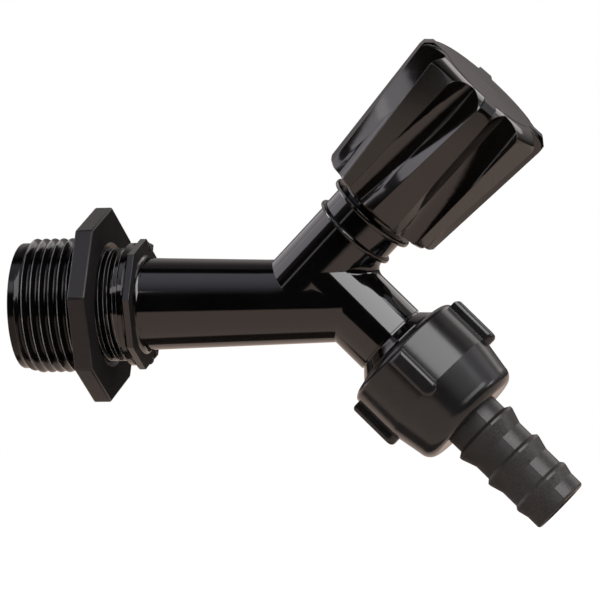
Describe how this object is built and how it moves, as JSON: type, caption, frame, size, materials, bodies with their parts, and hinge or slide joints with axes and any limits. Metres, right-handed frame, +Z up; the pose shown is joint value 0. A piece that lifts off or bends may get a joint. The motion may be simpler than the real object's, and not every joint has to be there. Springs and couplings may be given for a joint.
{
  "type": "garden tap",
  "caption": "Y-shaped garden tap: threaded inlet with an eight-sided reducing bush, fluted knob on the upper branch, union nut with a barbed hose tail on the lower branch.",
  "frame": {"origin": "centre of the face of the eight-sided head that seats against the supply fitting", "axes": "+X along the inlet, from the supply into the tap; +Z up, towards the knob; +Y to the far side"},
  "size_m": [0.1103, 0.038, 0.0947],
  "materials": {
    "body_plastic": "glossy black injection moulding",
    "bush_plastic": "matte brownish black moulding",
    "bonnet_plastic": "glossy black moulding",
    "knob_plastic": "glossy black moulding",
    "nut_plastic": "satin black moulding",
    "tail_plastic": "satin black moulding, slightly brown",
    "spindle_brass": "turned brass",
    "screw_steel": "plain steel",
    "seal_rubber": "black rubber"
  },
  "bodies": {
    "body": {"tap_body": "body_plastic", "reducing_bush": "bush_plastic", "bonnet": "bonnet_plastic", "bonnet_seal": "seal_rubber", "spindle_seal_lower": "seal_rubber", "spindle_seal_upper": "seal_rubber"},
    "jumper": {"jumper_valve": "spindle_brass", "tap_washer": "seal_rubber", "washer_screw": "screw_steel"},
    "spindle": {"spindle": "spindle_brass", "knob": "knob_plastic"},
    "tail": {"hose_tail": "tail_plastic", "union_washer": "seal_rubber"},
    "nut": {"union_nut": "nut_plastic"}
  },
  "joints": [
    {"name": "valve_lift", "type": "slide", "parent": "body", "child": "jumper", "axis": [0.7071, 0, 0.7071], "range_m": [0, 0.004]},
    {"name": "knob_turn", "type": "hinge", "parent": "jumper", "child": "spindle", "pos_m": [0.03963, 0, 0], "axis": [0.7071, 0, 0.7071], "range_deg": [0, 720]},
    {"name": "union_slide", "type": "slide", "parent": "body", "child": "tail", "axis": [0.7071, 0, -0.7071], "range_m": [0, 0.006]},
    {"name": "union_nut_turn", "type": "hinge", "parent": "tail", "child": "nut", "pos_m": [0.05194, 0, 0], "axis": [0.7071, 0, -0.7071], "range_deg": [0, 1440]}
  ],
  "couplings": [
    {"joint": "valve_lift", "follows": "knob_turn", "m_per_rad": 0.00031831},
    {"joint": "union_slide", "follows": "union_nut_turn", "m_per_rad": 0.00023873}
  ]
}
